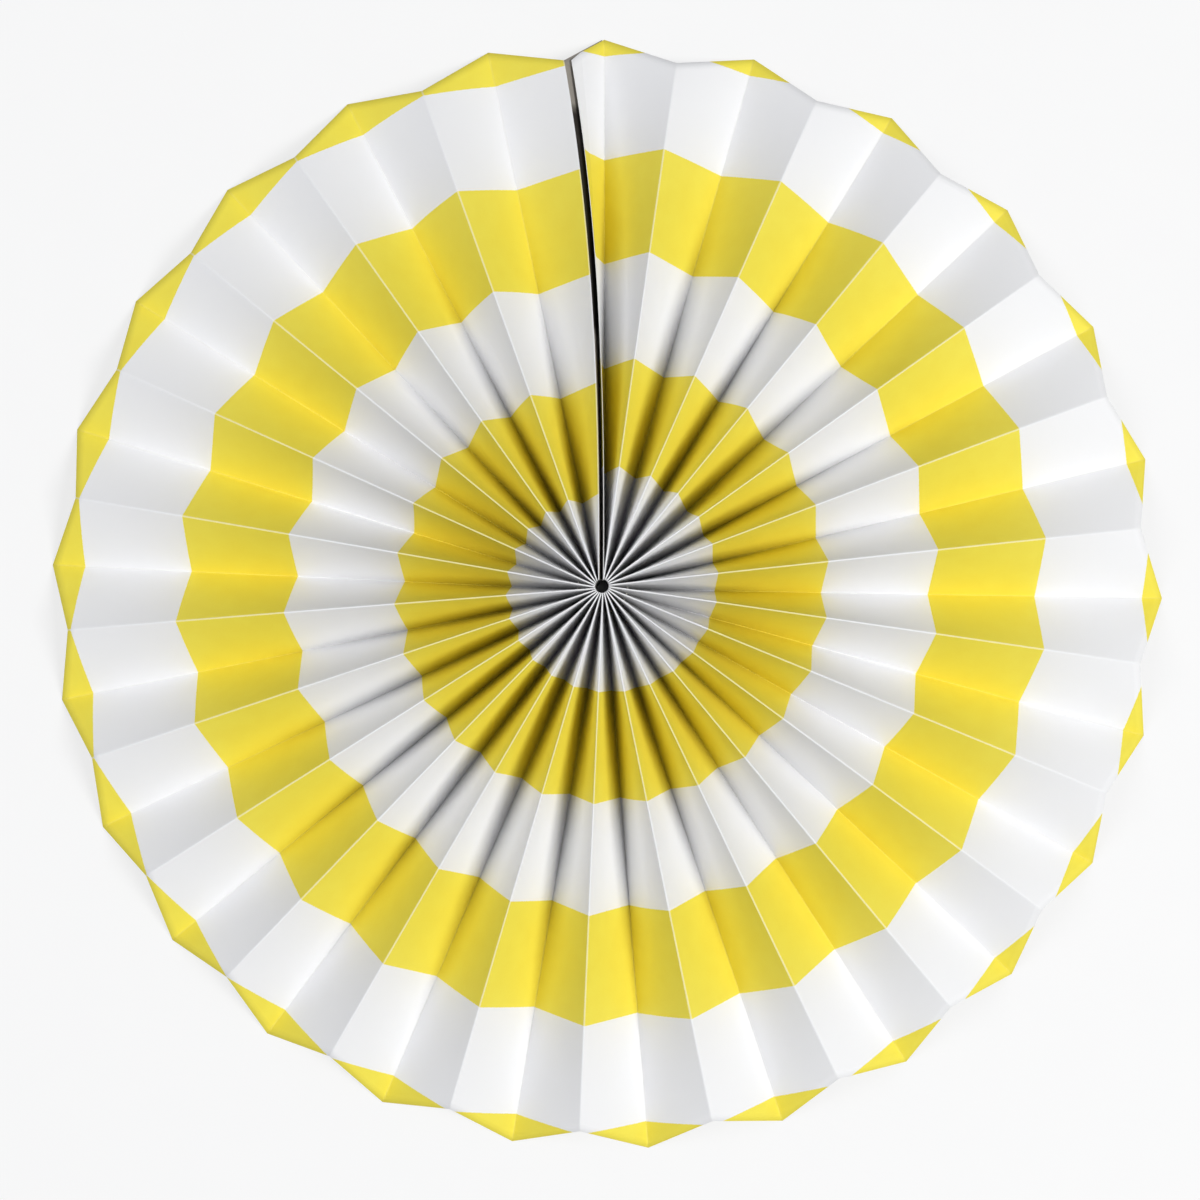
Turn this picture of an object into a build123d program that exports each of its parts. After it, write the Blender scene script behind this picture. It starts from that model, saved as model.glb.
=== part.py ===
from build123d import *
import math
import os

# Paper fan rosette: one printed strip of stiff paper, pleated into radial panels, opened to a full circle.
#
# The strip runs once round the hub. Its folds alternate: valley folds lie on the table at Z = 0 and ridge folds
# stand above them. One extra panel at the start of the strip, the lap, hangs down from the first ridge and is
# taped to the back of the strip's last panel, which closes the circle in one seam. A thread through a punched
# hole in every panel gathers the inner ends and leaves a small open hub.
#
# Frame: millimetres, +Z up out of the printed face, origin on the hub axis at the level of the valley folds.
# The seam is near +Y. Azimuths are measured from +Y, turning towards -X.

# ---- paper ----
paper_thickness = 0.15
panel_width = 21.0            # one panel, measured from fold to fold across the strip
pleat_count = 25              # valley folds in the full circle
fold_bluntness = 0.6          # half width of a pressed fold's blunt top, in paper thicknesses
valley_tip_radius = 150.0     # hub axis to the cut edge at a valley fold
ridge_tip_radius = 142.0      # hub axis to the cut edge at a ridge fold: the rim is cut slanting on each panel
hub_radius = 1.8              # hub axis to the inner cut edge

# ---- how the circle is opened ----
first_ridge_azimuth = 3.9     # degrees
opened_angle = 364.0          # degrees that the evenly opened strip would cover, lap left out
slow_wave = 3.7               # degrees by which pleats are spread beside the seam and crowded opposite it
slow_wave_phase = 11.0
fast_wave = 0.73              # degrees of a second unevenness, twice round the circle
end_panel_angle = 3.6         # degrees from the last valley fold to the free edge of the last panel, at the rim
hub_turn_first = 26.0         # degrees by which the first fold is turned at the hub from its rim azimuth
hub_turn_last = -8.0          # the same for the last fold
seam_straightness = 2.5       # power by which the end folds lean from straight ahead into their rim azimuth

# ---- seam ----
tape_thickness = 0.12
tape_clearance = 0.06         # bare gap between the tape and the paper on each side
tape_width = 9.0
tape_bottom = 2.5             # lower edge of the tape, measured up the panel from the valley fold
tape_inner_share = 0.09       # where the tape starts and ends along the seam, as shares of its length
tape_outer_share = 0.90
seam_mouth_inner = 1.0        # clear gap between the lap and the last panel's free edge, at the hub
seam_mouth_outer = 1.8        # the same at the rim
seam_bend = 13.0              # the last panel leaves the lap this far up the panel

# ---- gathering thread ----
thread_radius = 0.30
thread_clearance = 0.15
thread_ring_radius = 6.5
thread_height = 9.0

stations = (0.0, 0.03, 0.09, 0.2, 0.35, 0.5, 0.65, 0.8, 0.9, 1.0)   # shares of a fold's length, hub to rim
first_fold, last_fold = 0, 2 * pleat_count

half_thickness = paper_thickness / 2
fold_half_width = fold_bluntness * paper_thickness
paper_floor = half_thickness  # height of the paper's middle surface at a valley fold


def is_ridge(fold):
    return fold % 2 == 0


def azimuth(fold):
    """Rim azimuth of a fold in degrees: evenly spaced, plus a slow and a fast wave round the circle."""
    if fold == last_fold:
        return azimuth(last_fold - 1) + end_panel_angle
    share = fold / last_fold
    phase = math.radians(slow_wave_phase)
    slow = slow_wave * (math.sin(2 * math.pi * share + phase) - math.sin(phase))
    fast = fast_wave * math.sin(4 * math.pi * share)
    return first_ridge_azimuth + opened_angle * share + slow + fast


def hub_turn(fold):
    return hub_turn_first + (hub_turn_last - hub_turn_first) * fold / last_fold


def outward(degrees):
    a = math.radians(degrees)
    return Vector(-math.sin(a), math.cos(a), 0)


def along(degrees):
    """Direction of growing azimuth."""
    a = math.radians(degrees)
    return Vector(-math.cos(a), -math.sin(a), 0)


def plan_point(fold, radius):
    """A fold's place seen from above: a straight line that leaves the hub a little to one side of its axis."""
    turn = azimuth(fold)
    if fold in (first_fold, last_fold):
        seam = azimuth(last_fold - 1)
        lean = (radius / ridge_tip_radius) ** (seam_straightness - 1)
        whole_turns = 360.0 if fold == first_fold else 0.0
        turn = seam - whole_turns + (turn + whole_turns - seam) * lean
    side = hub_radius * math.sin(math.radians(hub_turn(fold)))
    ahead = math.sqrt(radius ** 2 - side ** 2)
    return outward(turn) * ahead + along(turn) * side


def ridge_height(fold, radius):
    """Height at which both panels beside a ridge keep their width."""
    here = plan_point(fold, radius)
    near = [plan_point(k, radius) for k in (fold - 1, fold + 1) if first_fold <= k <= last_fold]
    run = sum((here - p).length for p in near) / len(near) - 2 * fold_half_width
    return math.sqrt(panel_width ** 2 - max(run, 0.0) ** 2)


def fold_point(fold, radius):
    height = ridge_height(fold, radius) if is_ridge(fold) else 0.0
    return plan_point(fold, radius) + Vector(0, 0, paper_floor + height)


def fold_radius(fold, share):
    tip = ridge_tip_radius if is_ridge(fold) else valley_tip_radius
    return hub_radius + share * (tip - hub_radius)


def fold_pair(fold, share):
    """The two corners of a blunt fold on the paper's middle surface."""
    centre = fold_point(fold, fold_radius(fold, share))
    step = along(azimuth(fold)) * fold_half_width
    return [centre - step, centre + step]


def seam_frame(share):
    """The seam at one share of its length: valley corner, ridge corner, sideways step, and that step's stretch.

    The two papers are stacked sideways, and because they lean, a sideways step is longer than the thickness
    it crosses: stretch is that ratio.
    """
    valley = fold_pair(last_fold - 1, share)[1]
    ridge = fold_pair(first_fold, share)[0]
    side = along(azimuth(last_fold - 1))
    slope = (ridge - valley).normalized()
    stretch = 1 / math.sqrt(1 - slope.dot(side) ** 2)
    return valley, ridge, side, stretch


def seam_corners(share):
    """Corners of the last panel above its valley fold, and of the lap: (bend, free edge, lap's lower edge)."""
    valley, ridge, side, stretch = seam_frame(share)
    bond = (paper_thickness + tape_thickness + 2 * tape_clearance) * stretch
    lap_foot = valley + side * bond
    bend = valley + (ridge - lap_foot) * (seam_bend / panel_width)
    mouth = seam_mouth_inner + (seam_mouth_outer - seam_mouth_inner) * share
    top = ridge - side * (paper_thickness + mouth)
    return bend, top, lap_foot


def section(share):
    """Corners of the paper's middle surface from the lap's lower edge to the last free edge."""
    bend, top, lap_foot = seam_corners(share)
    corners = [lap_foot]
    for fold in range(first_fold, last_fold):
        corners += fold_pair(fold, share)
    return corners + [bend, top]


def skins(share):
    """The upper and the lower corners of the section, half a thickness off the middle surface, mitred."""
    corners = section(share)
    normals = []
    for a, b in zip(corners, corners[1:]):
        middle = (a + b) * 0.5
        ahead = Vector(middle.X, middle.Y, 0).normalized()
        normals.append(ahead.cross(b - a).normalized())
    befores = [normals[0]] + normals
    afters = normals + [normals[-1]]
    upper, lower = [], []
    for corner, before, after in zip(corners, befores, afters):
        mitre = (before + after) * (half_thickness / (1 + before.dot(after)))
        upper.append(corner + mitre)
        lower.append(corner - mitre)
    return upper, lower


def pleated_strip():
    """One closed solid: a ruled face for each flat and each panel on both sides, and the cut edges all round."""
    rows = [skins(share) for share in stations]
    count = len(rows[0][0])
    runs = [[Edge.make_spline([row[side][i] for row in rows]) for i in range(count)] for side in (0, 1)]
    faces = []
    for side in (0, 1):
        for i in range(count - 1):
            faces.append(Face.make_surface_from_curves(runs[side][i], runs[side][i + 1]))
    for upper, lower in (rows[0], rows[-1]):
        for i in range(count - 1):
            over = Edge.make_line(upper[i], upper[i + 1])
            under = Edge.make_line(lower[i], lower[i + 1])
            faces.append(Face.make_surface_from_curves(over, under))
    for i in (0, count - 1):
        faces.append(Face.make_surface_from_curves(runs[0][i], runs[1][i]))
    return Solid(Shell(faces))


def thread_ring(radius):
    """The thread's ring, or the row of punched holes that it runs through."""
    return Location((0, 0, thread_height)) * Torus(thread_ring_radius, radius)


def seam_tape():
    """A flat strip between the lap and the last panel, clear of both by a hair."""
    runs = []
    for lift in (tape_bottom, tape_bottom + tape_width):
        for edge in (-0.5, 0.5):
            points = []
            for share in [s for s in stations if tape_inner_share <= s <= tape_outer_share]:
                bend, _, lap_foot = seam_corners(share)
                valley, _, side, stretch = seam_frame(share)
                climb = (bend - valley) * (lift / seam_bend)
                middle = valley + (lap_foot - valley) * 0.5 + climb
                points.append(middle + side * (edge * tape_thickness * stretch))
            runs.append(points)
    near_low, far_low, near_high, far_high = runs
    loops = [near_low, far_low, far_high, near_high]
    edges = [Edge.make_spline(points) for points in loops]
    faces = [Face.make_surface_from_curves(edges[i - 1], edges[i]) for i in range(4)]
    for end in (0, -1):
        inner = Edge.make_line(near_low[end], near_high[end])
        outer = Edge.make_line(far_low[end], far_high[end])
        faces.append(Face.make_surface_from_curves(inner, outer))
    return Solid(Shell(faces))


def main():
    os.makedirs("parts", exist_ok=True)
    parts = {
        "pleated_paper": pleated_strip() - thread_ring(thread_radius + thread_clearance),
        "seam_tape": seam_tape(),
        "gathering_thread": thread_ring(thread_radius),
    }
    for name, part in parts.items():
        solids = part.solids()
        print(name, "solids", len(solids), "valid", part.is_valid, "volume", round(part.volume, 1))
        export_step(part, f"parts/{name}.step")


main()
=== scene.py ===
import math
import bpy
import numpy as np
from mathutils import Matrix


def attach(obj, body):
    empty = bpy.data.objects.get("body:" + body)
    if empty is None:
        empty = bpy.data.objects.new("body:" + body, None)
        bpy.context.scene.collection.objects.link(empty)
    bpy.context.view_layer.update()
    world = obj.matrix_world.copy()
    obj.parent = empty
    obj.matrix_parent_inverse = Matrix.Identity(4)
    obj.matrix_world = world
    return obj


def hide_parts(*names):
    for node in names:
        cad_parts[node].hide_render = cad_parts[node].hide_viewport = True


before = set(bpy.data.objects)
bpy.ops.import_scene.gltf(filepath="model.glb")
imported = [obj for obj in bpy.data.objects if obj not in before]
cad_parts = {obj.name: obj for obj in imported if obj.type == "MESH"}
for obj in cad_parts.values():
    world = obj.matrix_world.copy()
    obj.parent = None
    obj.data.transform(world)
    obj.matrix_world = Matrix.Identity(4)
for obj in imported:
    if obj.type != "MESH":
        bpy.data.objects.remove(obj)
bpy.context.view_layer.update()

# %% [markdown]
# # Paper fan rosette
# One strip of striped paper, pleated and opened to a full circle. It lies on a white table with its
# printed face up.

MM = 0.001
scene = bpy.context.scene

# %% [markdown]
# ## The camera
# The rosette lies flat, so the camera hangs over it and looks down, leaning a little towards the lower
# right. It hangs only one and a half diameters up, so the ridges, which are nearer to it, look a little
# further out than they are. A camera that points almost straight down has no natural upright, so its turn
# is built from three directions: forward, right and up.

# %% Camera
CAMERA_LEAN = math.radians(2.1)
CAMERA_SIDE = np.array([0.545, -0.839, 0.0])
CAMERA_DISTANCE = 445 * MM
CAMERA_TARGET = np.array([-0.7, -3.3, 10.0]) * MM
CAMERA_LENS = 50.5            # focal length and film width, both in Blender's lens millimetres
FILM_WIDTH = 36.0


def aim_camera(name, target, offset):
    """Place a camera at target + offset with +Y upward in its picture.

    The turn's columns are right, up and backward, where right is forward cross +Y.
    """
    forward = -offset / np.linalg.norm(offset)
    right = np.cross(forward, [0.0, 1.0, 0.0])
    right /= np.linalg.norm(right)
    up = np.cross(right, forward)
    placed = np.eye(4)
    placed[:3, :3] = np.column_stack([right, up, -forward])
    placed[:3, 3] = target + offset
    camera = bpy.data.objects.new(name, bpy.data.cameras.new(name))
    camera.data.lens = CAMERA_LENS
    camera.data.sensor_width = FILM_WIDTH
    camera.data.clip_start = 0.01
    camera.matrix_world = Matrix(placed.tolist())
    scene.collection.objects.link(camera)
    return camera


lean = np.array([0, 0, math.cos(CAMERA_LEAN)]) + CAMERA_SIDE * math.sin(CAMERA_LEAN)
scene.camera = aim_camera("camera", CAMERA_TARGET, lean * CAMERA_DISTANCE)
print("camera at", [round(v, 3) for v in scene.camera.matrix_world.translation])

# %% [markdown]
# ## The folds
# On the real rosette every fold is a straight line pressed into the strip, so the whole shape follows
# from where the folds lie. They could be drawn one by one, but here all of them are worked out at once:
# an array holds a point for each fold (first axis) at each station from hub to rim (second axis). Valley
# folds lie on the table. Each ridge fold stands as high as its two panels let it, because paper doesn't
# stretch.

# %% Fold lines
PAPER = 0.15 * MM
PANEL_WIDTH = 21.0 * MM
FOLD_HALF = 0.09 * MM
HUB, RIDGE_TIP, VALLEY_TIP = 1.8 * MM, 142.0 * MM, 150.0 * MM
FOLDS = 50
STATIONS = 78
HUB_CROWDING = 1.25           # above 1, stations stand closer together near the hub

FIRST_RIDGE = 3.9             # degrees, as are the angles below
OPENED = 364.0
SLOW_WAVE, SLOW_PHASE = 3.7, 11.0
FAST_WAVE = 0.73
END_PANEL = 3.6               # from the last valley fold to the last free edge
TURN_FIRST, TURN_LAST = 26.0, -8.0
SEAM_LEAN = 1.5

fold_number = np.arange(FOLDS + 1)
share_round = fold_number / FOLDS
share_out = np.linspace(0.0, 1.0, STATIONS) ** HUB_CROWDING


def fold_azimuths():
    """Rim azimuth of each fold in degrees, from +Y towards -X.

    FIRST_RIDGE + OPENED s, plus a slow wave SLOW_WAVE (sin(2 pi s + p) - sin p) and a fast wave
    FAST_WAVE sin(4 pi s), where s is the fold's share of the way round and p is SLOW_PHASE. The last free
    edge lies END_PANEL past the last valley.
    """
    phase = math.radians(SLOW_PHASE)
    slow = SLOW_WAVE * (np.sin(2 * np.pi * share_round + phase) - math.sin(phase))
    fast = FAST_WAVE * np.sin(4 * np.pi * share_round)
    angles = FIRST_RIDGE + OPENED * share_round + slow + fast
    angles[-1] = angles[-2] + END_PANEL
    return angles


AZIMUTHS = fold_azimuths()
HUB_TURN = np.radians(TURN_FIRST + (TURN_LAST - TURN_FIRST) * share_round)
is_ridge = fold_number % 2 == 0
tip = np.where(is_ridge, RIDGE_TIP, VALLEY_TIP)
fold_radius = HUB + share_out * (tip - HUB)[:, None]


def directions(degrees):
    """Outward and sideways unit vectors: (-sin a, cos a, 0) and (-cos a, -sin a, 0)."""
    a = np.radians(degrees)
    zero = np.zeros_like(a)
    return np.stack([-np.sin(a), np.cos(a), zero], -1), np.stack([-np.cos(a), -np.sin(a), zero], -1)


def plan_points(folds, radius):
    """Folds seen from above: ahead * outward + side * along, where ahead^2 + side^2 = radius^2.

    Here side is the hub radius times the sine of the fold's turn at the hub. The two end folds lean: near
    the hub they keep the last valley's direction, and they reach their own azimuth as
    (radius / ridge tip)^SEAM_LEAN.
    """
    turn = np.broadcast_to(AZIMUTHS[folds][:, None], radius.shape).copy()
    seam = AZIMUTHS[-2]
    lean = (radius / RIDGE_TIP) ** SEAM_LEAN
    for row in np.flatnonzero((folds == 0) | (folds == FOLDS)):
        home = seam - (360.0 if folds[row] == 0 else 0.0)
        turn[row] = home + (AZIMUTHS[folds[row]] - home) * lean[row]
    side = HUB * np.sin(HUB_TURN[folds])[:, None]
    outward, sideways = directions(turn)
    return outward * np.sqrt(radius ** 2 - side ** 2)[..., None] + sideways * side[..., None]


def fold_lines():
    """Every fold's line on the middle surface.

    Ridge height is sqrt(width^2 - run^2), run being the plan step to the neighbouring folds, less the blunt
    tops.
    """
    here = plan_points(fold_number, fold_radius)
    before = np.maximum(fold_number - 1, 0)
    after = np.minimum(fold_number + 1, FOLDS)
    step_before = np.linalg.norm(here - plan_points(before, fold_radius), axis=-1)
    step_after = np.linalg.norm(here - plan_points(after, fold_radius), axis=-1)
    step_before[0] = step_after[0]
    step_after[-1] = step_before[-1]
    run = np.maximum((step_before + step_after) / 2 - 2 * FOLD_HALF, 0.0)
    height = np.where(is_ridge[:, None], np.sqrt(PANEL_WIDTH ** 2 - run ** 2), 0.0)
    here[..., 2] = PAPER / 2 + height
    return here


folds = fold_lines()
print("folds", folds.shape, "ridge height at the rim in mm, lowest and highest:",
      (folds[::2, -1, 2].min() / MM).round(2), (folds[::2, -1, 2].max() / MM).round(2))

# %% [markdown]
# ## The section of the paper
# A pressed fold isn't a knife edge: it has a blunt top a little wider than the paper is thick. So each
# fold line becomes two corner lines. The strip starts with a lap that hangs from the first ridge, is
# taped to the back of the last panel, and closes the circle. Above the tape the last panel springs away
# from the lap and leaves the open mouth that is seen at the seam.

# %% Corner lines of the section
TAPE, TAPE_CLEARANCE = 0.12 * MM, 0.06 * MM
MOUTH_AT_HUB, MOUTH_AT_RIM = 1.0 * MM, 1.8 * MM
BEND = 13.0 / 21.0            # the last panel leaves the lap this far up its width

_, fold_sideways = directions(AZIMUTHS)
step = fold_sideways[:, None, :] * FOLD_HALF
corners_before, corners_after = folds - step, folds + step
seam_side = fold_sideways[-2]
valley = corners_after[-2]
ridge = corners_before[0]
slope = (ridge - valley) / np.linalg.norm(ridge - valley, axis=-1, keepdims=True)
stretch = (1 / np.sqrt(1 - (slope @ seam_side) ** 2))[:, None]
lap_foot = valley + seam_side * (PAPER + TAPE + 2 * TAPE_CLEARANCE) * stretch
bend = valley + (ridge - lap_foot) * BEND
mouth = MOUTH_AT_HUB + (MOUTH_AT_RIM - MOUTH_AT_HUB) * share_out
free_edge = ridge - seam_side * (PAPER + mouth)[:, None]
pairs = np.stack([corners_before[:-1], corners_after[:-1]], 1).reshape(-1, STATIONS, 3)
corners = np.concatenate([lap_foot[None], pairs, bend[None], free_edge[None]])
bend_tip = VALLEY_TIP * (1 - BEND) + RIDGE_TIP * BEND
corner_tip = np.concatenate([[VALLEY_TIP], np.repeat(tip[:-1], 2), [bend_tip, RIDGE_TIP]])
print("corner lines:", len(corners))

# %% [markdown]
# ## The sheet
# Between two corner lines the paper is a ruled surface. A two-parameter grid covers it: one parameter
# runs along the folds, the other across the panel, with extra columns close to each fold, so that smooth
# shading bends the light only there. Real panels also bow a little, by a few tenths of a millimetre, each
# in its own way. The grid is offset half a thickness to each side and closed with the cut edges.

# %% Sheet grid
ACROSS = np.array([0.0, 0.014, 0.06, 0.2, 0.4, 0.6, 0.8, 0.94, 0.986])
FLAT = np.array([0.0, 0.5])
BOW = 0.22 * MM
BOW_UNEVENNESS = 0.6
random = np.random.default_rng(25)


def unit(vectors):
    return vectors / np.linalg.norm(vectors, axis=-1, keepdims=True)


def segment_normals(lines):
    """Upward normal of each segment between neighbouring corner lines: outward cross (b - a), normalised."""
    middle = (lines[:-1] + lines[1:]) / 2
    ahead = unit(middle * [1, 1, 0])
    return unit(np.cross(ahead, lines[1:] - lines[:-1]))


normals = segment_normals(corners)
before, after = np.concatenate([normals[:1], normals]), np.concatenate([normals, normals[-1:]])
mitres = (before + after) / (1 + (before * after).sum(-1, keepdims=True))
is_flat = (np.arange(len(normals)) % 2 == 1) & (np.arange(len(normals)) < 2 * FOLDS)

columns = []                  # for each: its middle line, offset direction, segment and place across it
for k in range(len(normals)):
    shares = FLAT if is_flat[k] else ACROSS
    wide = not is_flat[k] and 1 < k < len(normals) - 4
    swell = random.normal(0.0, 1.0) * BOW if wide else 0.0
    twist = random.normal(0.0, BOW_UNEVENNESS)
    for t in shares:
        line = corners[k] * (1 - t) + corners[k + 1] * t
        bow = swell * math.sin(math.pi * t) * np.sin(np.pi * share_out) * (1 + twist * (share_out - 0.5))
        offset = mitres[k] if t == 0 else normals[k]
        columns.append((line + normals[k] * bow[:, None], offset, k, t))
columns.append((corners[-1], mitres[-1], len(normals) - 1, 1.0))
middle = np.stack([c[0] for c in columns])
offset = np.stack([c[1] for c in columns]) * (PAPER / 2)
segment = np.array([c[2] for c in columns])
across = np.array([c[3] for c in columns])
print("columns:", len(columns), "triangles:", 4 * (len(columns) - 1) * (STATIONS - 1))

# %% [markdown]
# ## Where the print falls
# The stripes are printed straight across the flat strip, so a point's place in the print is its distance
# along the fold from the inner cut edge. The sheet was cut at a slight slant to its print: from one end
# of the strip to the other the stripes step outward. The values that go with every point are its place
# along the print, counted in stripes, its distance to the nearest fold, whether that fold is a ridge,
# whether it is on the lap, which gets painted shade, and its share of the way out.

# %% Print values
STRIPE = 29.15 * MM
FIRST_STRIPE = 23.8 * MM
DRIFT = 7.4 * MM              # how far the first band steps outward from the strip's start to its end
STRIPE_LOSS = 0.6 * MM        # how much narrower each stripe is at the strip's end
NO_FOLD_NEAR = 20 * MM        # stands for "far away", along the cut ends of the strip

tip_here = corner_tip[segment] * (1 - across) + corner_tip[segment + 1] * across
run_out = HUB + share_out * (tip_here - HUB)[:, None]
panel_place = np.clip((segment - 1 + across) / (2 * FOLDS), 0.0, 1.0)
late = (panel_place ** 2 * (3 - 2 * panel_place))[:, None]
stripe_place = (run_out - FIRST_STRIPE - DRIFT * late) / (STRIPE - STRIPE_LOSS * late)

nearest = np.where(across < 0.5, segment, segment + 1)
distance = np.linalg.norm(middle - corners[nearest], axis=-1)
distance[is_flat[segment]] = 0.0
distance[(nearest == 0) | (nearest > 2 * FOLDS)] = NO_FOLD_NEAR
corner_fold = np.clip((nearest - 1) // 2, 0, FOLDS)
on_ridge = np.where(corner_fold % 2 == 0, 1.0, 0.0)[:, None] + 0 * distance
on_lap = np.arange(len(columns)) <= len(ACROSS)     # as far as the near corner of the first ridge
at_rim = stripe_place[:, -1]
print("stripes counted at the rim:", at_rim.min().round(2), "to", at_rim.max().round(2))


# %% [markdown]
# ## Making the mesh
# The upper and the lower skin are grids of quads. Strips of quads along the four cut edges close them
# into one sheet. All faces come from index arithmetic on whole arrays.

# %% Mesh from grids
def grid_quads(numbers):
    """Quads of a grid of vertex numbers, wound the same way."""
    quads = [numbers[:-1, :-1], numbers[:-1, 1:], numbers[1:, 1:], numbers[1:, :-1]]
    return np.stack(quads, -1).reshape(-1, 4)


def mesh_object(name, points, quads, smooth=True):
    mesh = bpy.data.meshes.new(name)
    mesh.from_pydata(np.asarray(points).reshape(-1, 3).tolist(), [], np.asarray(quads).tolist())
    mesh.polygons.foreach_set("use_smooth", np.full(len(mesh.polygons), smooth))
    thing = bpy.data.objects.new(name, mesh)
    scene.collection.objects.link(thing)
    return thing


def store(thing, name, values):
    layer = thing.data.attributes.new(name, "FLOAT", "POINT")
    layer.data.foreach_set("value", np.asarray(values, dtype=np.float32).ravel())


count = middle.shape[0] * STATIONS
upper = np.arange(count).reshape(-1, STATIONS)
lower = upper + count
rim = np.stack([upper[:, -1], lower[:, -1]])
inner = np.stack([upper[:, 0], lower[:, 0]])
first_cut = np.stack([upper[0], lower[0]])
last_cut = np.stack([upper[-1], lower[-1]])
skins = [grid_quads(upper), grid_quads(lower)[:, ::-1]]
cuts = [grid_quads(rim)[:, ::-1], grid_quads(inner), grid_quads(first_cut)[:, ::-1], grid_quads(last_cut)]
paper = mesh_object("pleated_paper_sheet", np.concatenate([middle + offset, middle - offset]),
                    np.concatenate(skins + cuts))
skin_count = sum(len(s) for s in skins)
cut_count = sum(len(c) for c in cuts)
paper.data.polygons.foreach_set("material_index", np.repeat([0, 1], [skin_count, cut_count]).astype(np.int32))
for label, values in (("stripe_place", stripe_place), ("fold_distance", distance / MM),
                      ("on_ridge", on_ridge), ("share_out", share_out + 0 * distance)):
    store(paper, label, np.concatenate([values, values]))
# Mask for the painted shade on the lap, on its upper skin only.
lap_shade = np.where(on_lap, 1.0, 0.0)[:, None] + 0 * distance
store(paper, "lap_shade", np.concatenate([lap_shade, 0 * lap_shade]))     # on the lap's printed side only
print("sheet faces:", len(paper.data.polygons))

# %% [markdown]
# ## Nodes in a few words
# Materials are built from shader nodes, so that they hold at any distance and need no picture. Two small
# helpers keep each recipe readable: one adds a node and wires its inputs, the other does arithmetic
# between values.

# %% Node helpers
class Recipe:
    """A material's node tree, written as nested calls."""

    def __init__(self, name):
        self.material = bpy.data.materials.new(name)
        self.material.use_nodes = True
        self.tree = self.material.node_tree
        self.shader = self.tree.nodes["Principled BSDF"]

    def add(self, kind, settings=None, **inputs):
        node = self.tree.nodes.new(kind)
        for key, value in (settings or {}).items():
            setattr(node, key, value)
        for key, value in inputs.items():
            self.feed(node.inputs[key.replace("_", " ")], value)
        return node

    def feed(self, socket, value):
        if isinstance(value, bpy.types.NodeSocket):
            self.tree.links.new(value, socket)
        else:
            socket.default_value = value

    def math(self, operation, *values):
        node = self.tree.nodes.new("ShaderNodeMath")
        node.operation = operation
        for socket, value in zip(node.inputs, values):
            self.feed(socket, value)
        return node.outputs[0]

    def value(self, name):
        return self.add("ShaderNodeAttribute", {"attribute_name": name}).outputs["Fac"]

    def noise(self, scale, detail=2.0, roughness=0.5, stretched=(1, 1, 1)):
        """Noise in the object's own space, centred on 0 and reaching about 0.5 either way."""
        place = self.add("ShaderNodeTexCoord").outputs["Object"]
        mapped = self.add("ShaderNodeMapping", Vector=place, Scale=stretched).outputs[0]
        node = self.add("ShaderNodeTexNoise", Vector=mapped, Scale=scale, Detail=detail, Roughness=roughness)
        return self.math("SUBTRACT", node.outputs["Fac"], 0.5)

    def soft_step(self, value, low, high):
        """0 below low, 1 above high, and t^2 (3 - 2 t) between."""
        node = self.add("ShaderNodeMapRange", {"interpolation_type": "SMOOTHSTEP"})
        for socket, given in zip(node.inputs[:3], (value, low, high)):
            self.feed(socket, given)
        return node.outputs["Result"]

    def blend(self, amount, first, second):
        node = self.add("ShaderNodeMix", {"data_type": "RGBA"})
        self.feed(node.inputs["Factor"], amount)
        self.feed(node.inputs[6], first)
        self.feed(node.inputs[7], second)
        return node.outputs[2]

    def bump(self, height, strength, distance):
        return self.add("ShaderNodeBump", Height=height, Strength=strength, Distance=distance).outputs[0]

    def finish(self, **sockets):
        for key, value in sockets.items():
            self.feed(self.shader.inputs[key.replace("_", " ")], value)
        return self.material


# %% [markdown]
# ## Printed paper
# The paper is a smooth uncoated sheet, printed with even yellow bands. Up close an offset print isn't one
# flat colour: its edges waver by a hair and the ink is a little mottled. On the ridges the colour is
# lightened towards white, partly because the ink cracks where the fold was pressed and the white fibres show,
# partly as a painted highlight along the ridge. Along the valley folds the colour is darkened a little by
# painted shade.
# The bands come from a sine of the print value, which is above zero on every other stripe. The bump is a fine
# felt of fibres and, faintly, the flocks of the sheet's formation. The lap at the strip's start is painted
# with shade: near black in the middle, grey-beige towards hub and rim. The shine is weak, as on any uncoated
# sheet, which keeps the deep valleys dark.

# %% Printed paper finish
YELLOW = (0.86, 0.745, 0.085, 1.0)
YELLOW_DEEP = (0.82, 0.675, 0.064, 1.0)
WHITE = (0.85, 0.85, 0.86, 1.0)
BARE = (0.86, 0.86, 0.85, 1.0)
# Painted shade on the lap: near black where the seam's mouth is deep in shade, grey-beige where the shade is
# lighter.
LAP_SHADE_DARK = (0.022, 0.018, 0.015, 1.0)
LAP_SHADE_PALE = (0.30, 0.275, 0.24, 1.0)
# Painted shade along the valley folds: its colour and, below, how strongly it is mixed in.
VALLEY_SHADE = (0.45, 0.40, 0.30, 1.0)
# How far the ridges are lightened towards white: partly ink cracked off the fold, partly a painted highlight.
RIDGE_WEAR_AND_HIGHLIGHT = 0.38
VALLEY_SHADE_AMOUNT = 0.10
PAPER_SHINE = 0.22
FELT_DEPTH = 0.06 * MM


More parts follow.
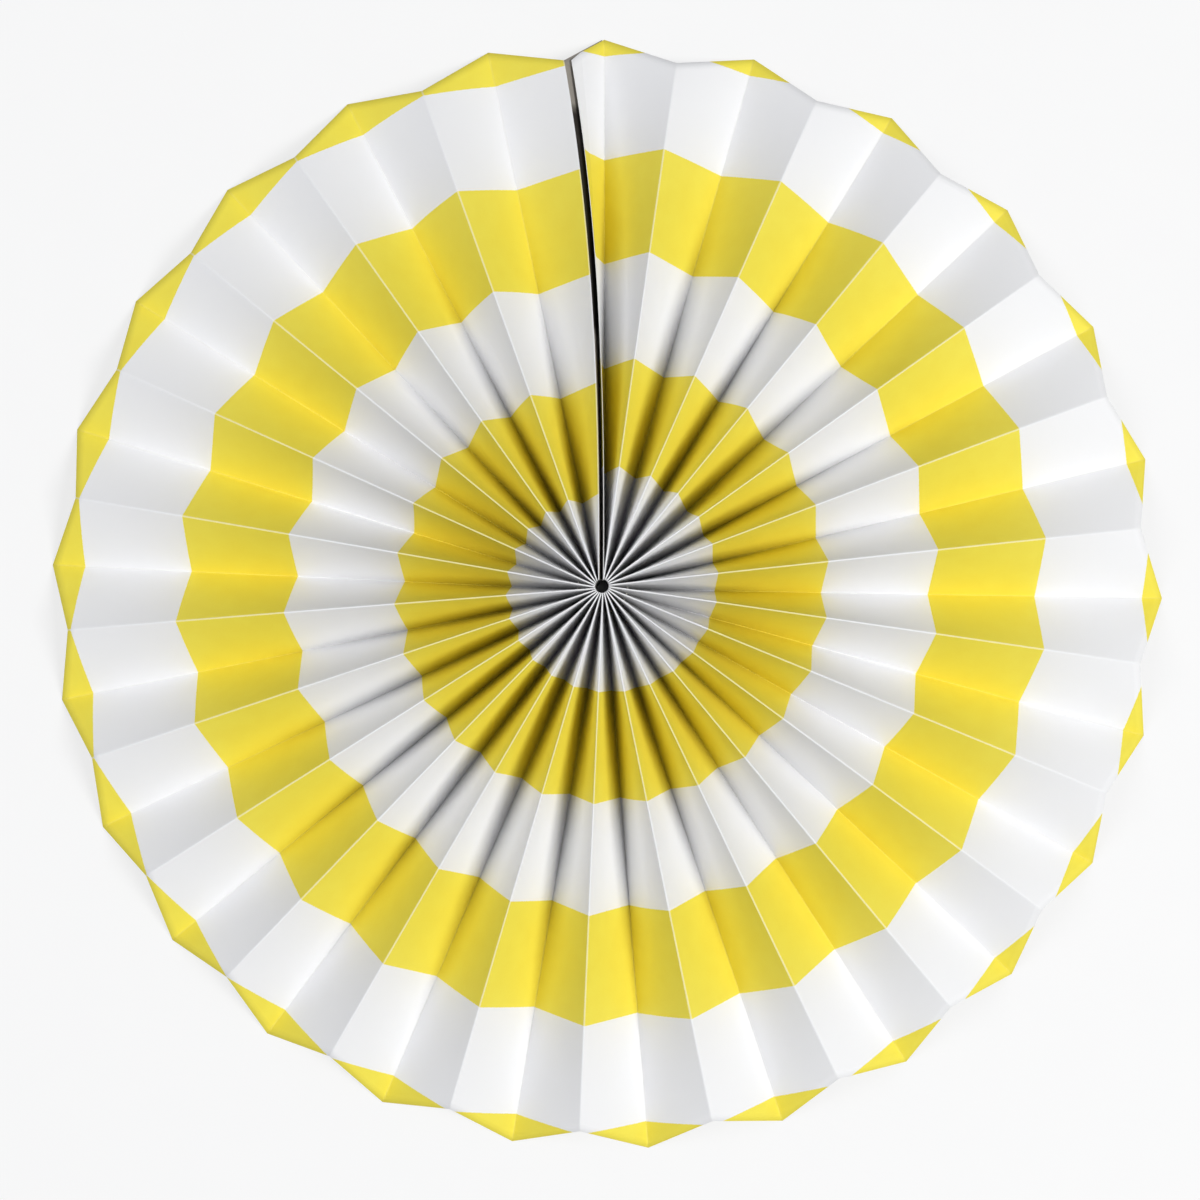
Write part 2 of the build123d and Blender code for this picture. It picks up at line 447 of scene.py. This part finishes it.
def printed_paper():
    r = Recipe("printed_paper")
    fibre = r.noise(2600, detail=4.0, roughness=0.6)
    flock = r.noise(170, detail=3.0)
    place = r.value("stripe_place")
    away = r.value("fold_distance")
    on_ridge = r.math("GREATER_THAN", r.value("on_ridge"), 0.5)

    waver = r.math("MULTIPLY", fibre, 0.012)
    phase = r.math("MULTIPLY", r.math("ADD", place, waver), math.pi)
    ink_edge = r.soft_step(r.math("SINE", phase), -0.010, 0.012)
    inside = r.soft_step(r.math("ADD", place, waver), -0.5, -0.49)
    ink = r.math("MULTIPLY", ink_edge, inside)

    # Ridge lightening, partly cracked ink and partly a painted highlight along each ridge.
    crack_and_highlight_band = r.soft_step(r.math("ADD", away, r.math("MULTIPLY", fibre, 0.5)), 0.24, 0.02)
    ridge_wear_and_highlight = r.math("MULTIPLY", r.math("MULTIPLY", crack_and_highlight_band, on_ridge), RIDGE_WEAR_AND_HIGHLIGHT)
    ink_after_ridge_lightening = r.math("MULTIPLY", ink, r.math("SUBTRACT", 1.0, ridge_wear_and_highlight))
    mottle = r.soft_step(r.math("ADD", flock, r.math("MULTIPLY", fibre, 0.5)), -0.35, 0.35)
    yellow = r.blend(r.math("MULTIPLY", mottle, 0.45), YELLOW, YELLOW_DEEP)
    colour = r.blend(ink_after_ridge_lightening, WHITE, yellow)
    # Painted shade: the colour darkens a little within half a millimetre of each valley fold.
    valley_shade = r.math("MULTIPLY", r.soft_step(away, 0.5, 0.05), r.math("SUBTRACT", 1.0, on_ridge))
    colour = r.blend(r.math("MULTIPLY", valley_shade, VALLEY_SHADE_AMOUNT), colour, VALLEY_SHADE)
    out = r.value("share_out")
    # Painted shade on the lap: grey-beige towards hub and rim, near black between.
    lighter_lap_ends = r.math("ADD", r.soft_step(out, 0.50, 0.42), r.soft_step(out, 0.88, 0.93))
    lap_shade_colour = r.blend(r.soft_step(r.math("ADD", lighter_lap_ends, flock), 0.1, 0.9), LAP_SHADE_DARK, LAP_SHADE_PALE)
    colour = r.blend(r.value("lap_shade"), colour, lap_shade_colour)

    sheen_of_ink = r.math("SUBTRACT", 0.78, r.math("MULTIPLY", ink, 0.14))
    rough = r.math("ADD", sheen_of_ink, r.math("MULTIPLY", fibre, 0.12))
    felt = r.math("ADD", r.math("MULTIPLY", fibre, 0.7), r.math("MULTIPLY", flock, 0.8))
    return r.finish(Base_Color=colour, Roughness=rough, Specular_IOR_Level=PAPER_SHINE,
                    Normal=r.bump(felt, 0.30, FELT_DEPTH))


# %% [markdown]
# ## The cut edge
# A guillotined edge shows the paper's white core, a shade rougher than its face.

# %% Cut edge finish
BARE_SHADED = (0.74, 0.73, 0.70, 1.0)
CUT_DEPTH = 0.05 * MM


def cut_edge():
    r = Recipe("cut_paper_edge")
    core = r.noise(5200, detail=3.0, stretched=(1, 1, 3))
    shade = r.blend(r.soft_step(core, -0.3, 0.3), BARE, BARE_SHADED)
    return r.finish(Base_Color=shade, Roughness=r.math("ADD", 0.85, r.math("MULTIPLY", core, 0.1)),
                    Normal=r.bump(core, 0.4, CUT_DEPTH))


paper.data.materials.append(printed_paper())
paper.data.materials.append(cut_edge())
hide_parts("pleated_paper")
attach(paper, "root")
print("paper finishes:", [m.name for m in paper.data.materials])

# %% [markdown]
# ## The gathering thread
# Near the hub a thread runs through a punched hole in every panel and keeps the inner ends together. Real
# sewing thread is two plies twisted round each other. Here each ply is a tube whose centre winds round
# the ring, so the pair is one torus-knot surface, computed from its angle round the ring and its angle
# round the ply.

# %% Thread
RING_RADIUS, RING_HEIGHT, PLY = 6.5 * MM, 9.0 * MM, 0.155 * MM
TWISTS = 62
PRESSED = 0.98                # each ply is pressed a little flatter than the circle that it winds on
THREAD_STEPS, PLY_SIDES = 720, 8
THREAD_LIGHT, THREAD_SHADED = (0.80, 0.78, 0.72, 1.0), (0.62, 0.60, 0.54, 1.0)
LINT_DEPTH = 0.04 * MM


def ply(start):
    """Points c(t) + ply (cos v n + sin v z): c winds at radius ply round the ring, TWISTS times."""
    t = np.linspace(0, 2 * np.pi, THREAD_STEPS, endpoint=False)[:, None]
    v = np.linspace(0, 2 * np.pi, PLY_SIDES, endpoint=False)[None, :]
    turn = TWISTS * t + start
    radial = RING_RADIUS + PLY * np.cos(turn) + PLY * PRESSED * np.cos(v)
    height = RING_HEIGHT + PLY * np.sin(turn) + PLY * PRESSED * np.sin(v)
    return np.stack([radial * np.cos(t), radial * np.sin(t), height + 0 * v], -1)


def thread_finish():
    r = Recipe("white_sewing_thread")
    lint = r.noise(9000, detail=3.0)
    shade = r.blend(r.soft_step(lint, -0.3, 0.3), THREAD_LIGHT, THREAD_SHADED)
    return r.finish(Base_Color=shade, Roughness=0.85, Normal=r.bump(lint, 0.5, LINT_DEPTH))


plies = [ply(0.0), ply(math.pi)]
numbers = np.arange(plies[0].shape[0] * plies[0].shape[1]).reshape(plies[0].shape[:2])
closed = np.pad(numbers, ((0, 1), (0, 1)), mode="wrap")       # back to the start, both ways round
around = grid_quads(closed)[:, ::-1]
thread = mesh_object("gathering_thread_plies", np.concatenate([p.reshape(-1, 3) for p in plies]),
                     np.concatenate([around, around + numbers.size]))
thread.data.materials.append(thread_finish())
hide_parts("gathering_thread")
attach(thread, "root")
print("thread faces:", len(thread.data.polygons))

# %% [markdown]
# ## The tape
# The strip's two ends are held by a band of double-sided tissue tape between the lap and the last panel.
# Its solid already has the right shape, so it keeps its mesh and only gets a finish: a crinkled tissue in
# dry adhesive.

# %% Tape
TISSUE_LIGHT, TISSUE_SHADED = (0.50, 0.47, 0.41, 1.0), (0.40, 0.37, 0.32, 1.0)
CRINKLE_DEPTH = 0.08 * MM


def tape_finish():
    r = Recipe("tissue_tape")
    tissue = r.noise(900, detail=5.0, roughness=0.65)
    shade = r.blend(r.soft_step(tissue, -0.3, 0.3), TISSUE_LIGHT, TISSUE_SHADED)
    return r.finish(Base_Color=shade, Roughness=r.math("ADD", 0.55, r.math("MULTIPLY", tissue, 0.3)),
                    Normal=r.bump(tissue, 0.4, CRINKLE_DEPTH))


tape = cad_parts["seam_tape"]
tape.data.materials.clear()
tape.data.materials.append(tape_finish())
print("tape:", tape.name)

# %% [markdown]
# ## The table
# A plain white table. Seen directly, or in a shine, it is nearly pure white, and it still catches the
# rosette's shadow: its material mixes a diffuse surface with a steady white that diffuse light doesn't
# see, so that white doesn't light the paper. Close round the hub the table is left plain, so the small
# hole stays dark.

# %% Table
TABLE_SIDE = 4.0
WHITE_SHARE = 0.70
PLAIN_WITHIN, WHITE_BEYOND = 20 * MM, 60 * MM
TABLE_WARM, TABLE_COOL = (0.80, 0.80, 0.80, 1.0), (0.78, 0.78, 0.785, 1.0)


def table_finish():
    r = Recipe("white_table")
    output = r.tree.nodes["Material Output"]
    grain = r.noise(60, detail=2.0)
    shade = r.blend(r.soft_step(grain, -0.4, 0.4), TABLE_WARM, TABLE_COOL)
    r.finish(Base_Color=shade, Roughness=0.9)
    glow = r.add("ShaderNodeEmission", Color=(1, 1, 1, 1), Strength=1.0).outputs[0]
    rays = r.add("ShaderNodeLightPath").outputs
    shine = r.math("MAXIMUM", rays["Is Glossy Ray"], rays["Is Transmission Ray"])
    seen = r.math("MAXIMUM", rays["Is Camera Ray"], shine)
    place = r.add("ShaderNodeTexCoord").outputs["Object"]
    reach = r.add("ShaderNodeVectorMath", {"operation": "LENGTH"}, Vector=place).outputs["Value"]
    open_table = r.soft_step(reach, PLAIN_WITHIN, WHITE_BEYOND)
    mixed = r.tree.nodes.new("ShaderNodeMixShader")
    r.feed(mixed.inputs[0], r.math("MULTIPLY", r.math("MULTIPLY", seen, open_table), WHITE_SHARE))
    r.feed(mixed.inputs[1], r.shader.outputs[0])
    r.feed(mixed.inputs[2], glow)
    r.feed(output.inputs["Surface"], mixed.outputs[0])
    return r.material


half = TABLE_SIDE / 2
table = mesh_object("table", [[-half, -half, 0], [half, -half, 0], [half, half, 0], [-half, half, 0]],
                    [[0, 1, 2, 3]], smooth=False)
table.data.materials.append(table_finish())

# %% [markdown]
# ## Light
# A large soft lamp stands high on the right, so each pleat has a bright and a less bright side. A weaker
# one on the left and a pale sky keep the shaded sides slightly cool. Neither stands overhead, so valleys
# that run across the light stay dark.

# %% Lamps and sky
SKY = (0.93, 0.95, 1.0, 1.0)


def soft_lamp(name, azimuth, elevation, distance, side, power, colour):
    """A square area lamp aimed at the hub, placed by the angles that its light comes from."""
    a, e = math.radians(azimuth), math.radians(elevation)
    direction = np.array([-math.sin(a) * math.cos(e), math.cos(a) * math.cos(e), math.sin(e)])
    lamp = bpy.data.objects.new(name, bpy.data.lights.new(name, "AREA"))
    lamp.data.size = side
    lamp.data.energy = power
    lamp.data.color = colour
    across_lamp = np.cross([0.0, 1.0, 0.1], direction)
    across_lamp /= np.linalg.norm(across_lamp)
    placed = np.eye(4)
    placed[:3, :3] = np.column_stack([across_lamp, np.cross(direction, across_lamp), direction])
    placed[:3, 3] = direction * distance
    lamp.matrix_world = Matrix(placed.tolist())
    scene.collection.objects.link(lamp)
    return lamp


soft_lamp("key", azimuth=252, elevation=52, distance=1.5, side=0.55, power=16, colour=(1.0, 1.0, 0.985))
soft_lamp("fill", azimuth=78, elevation=50, distance=1.5, side=0.8, power=8, colour=(0.96, 0.97, 1.0))


def pale_sky(strength):
    """A cool even sky of that strength, which looks plain white where the camera or a shine shows it."""
    world = bpy.data.worlds.new("pale_sky")
    world.use_nodes = True
    nodes, links = world.node_tree.nodes, world.node_tree.links
    light = nodes["Background"]
    light.inputs["Color"].default_value = SKY
    light.inputs["Strength"].default_value = strength
    seen = nodes.new("ShaderNodeBackground")
    seen.inputs["Color"].default_value = (1.0, 1.0, 1.0, 1.0)
    seen.inputs["Strength"].default_value = 1.0
    rays = nodes.new("ShaderNodeLightPath").outputs
    mixed = nodes.new("ShaderNodeMixShader")
    shine, shows = nodes.new("ShaderNodeMath"), nodes.new("ShaderNodeMath")
    shine.operation = shows.operation = "MAXIMUM"
    links.new(rays["Is Glossy Ray"], shine.inputs[0])
    links.new(rays["Is Transmission Ray"], shine.inputs[1])
    links.new(rays["Is Camera Ray"], shows.inputs[0])
    links.new(shine.outputs[0], shows.inputs[1])
    links.new(shows.outputs[0], mixed.inputs[0])
    links.new(light.outputs[0], mixed.inputs[1])
    links.new(seen.outputs[0], mixed.inputs[2])
    links.new(mixed.outputs[0], nodes["World Output"].inputs["Surface"])
    return world


scene.world = pale_sky(strength=0.24)
scene.view_settings.view_transform = "Standard"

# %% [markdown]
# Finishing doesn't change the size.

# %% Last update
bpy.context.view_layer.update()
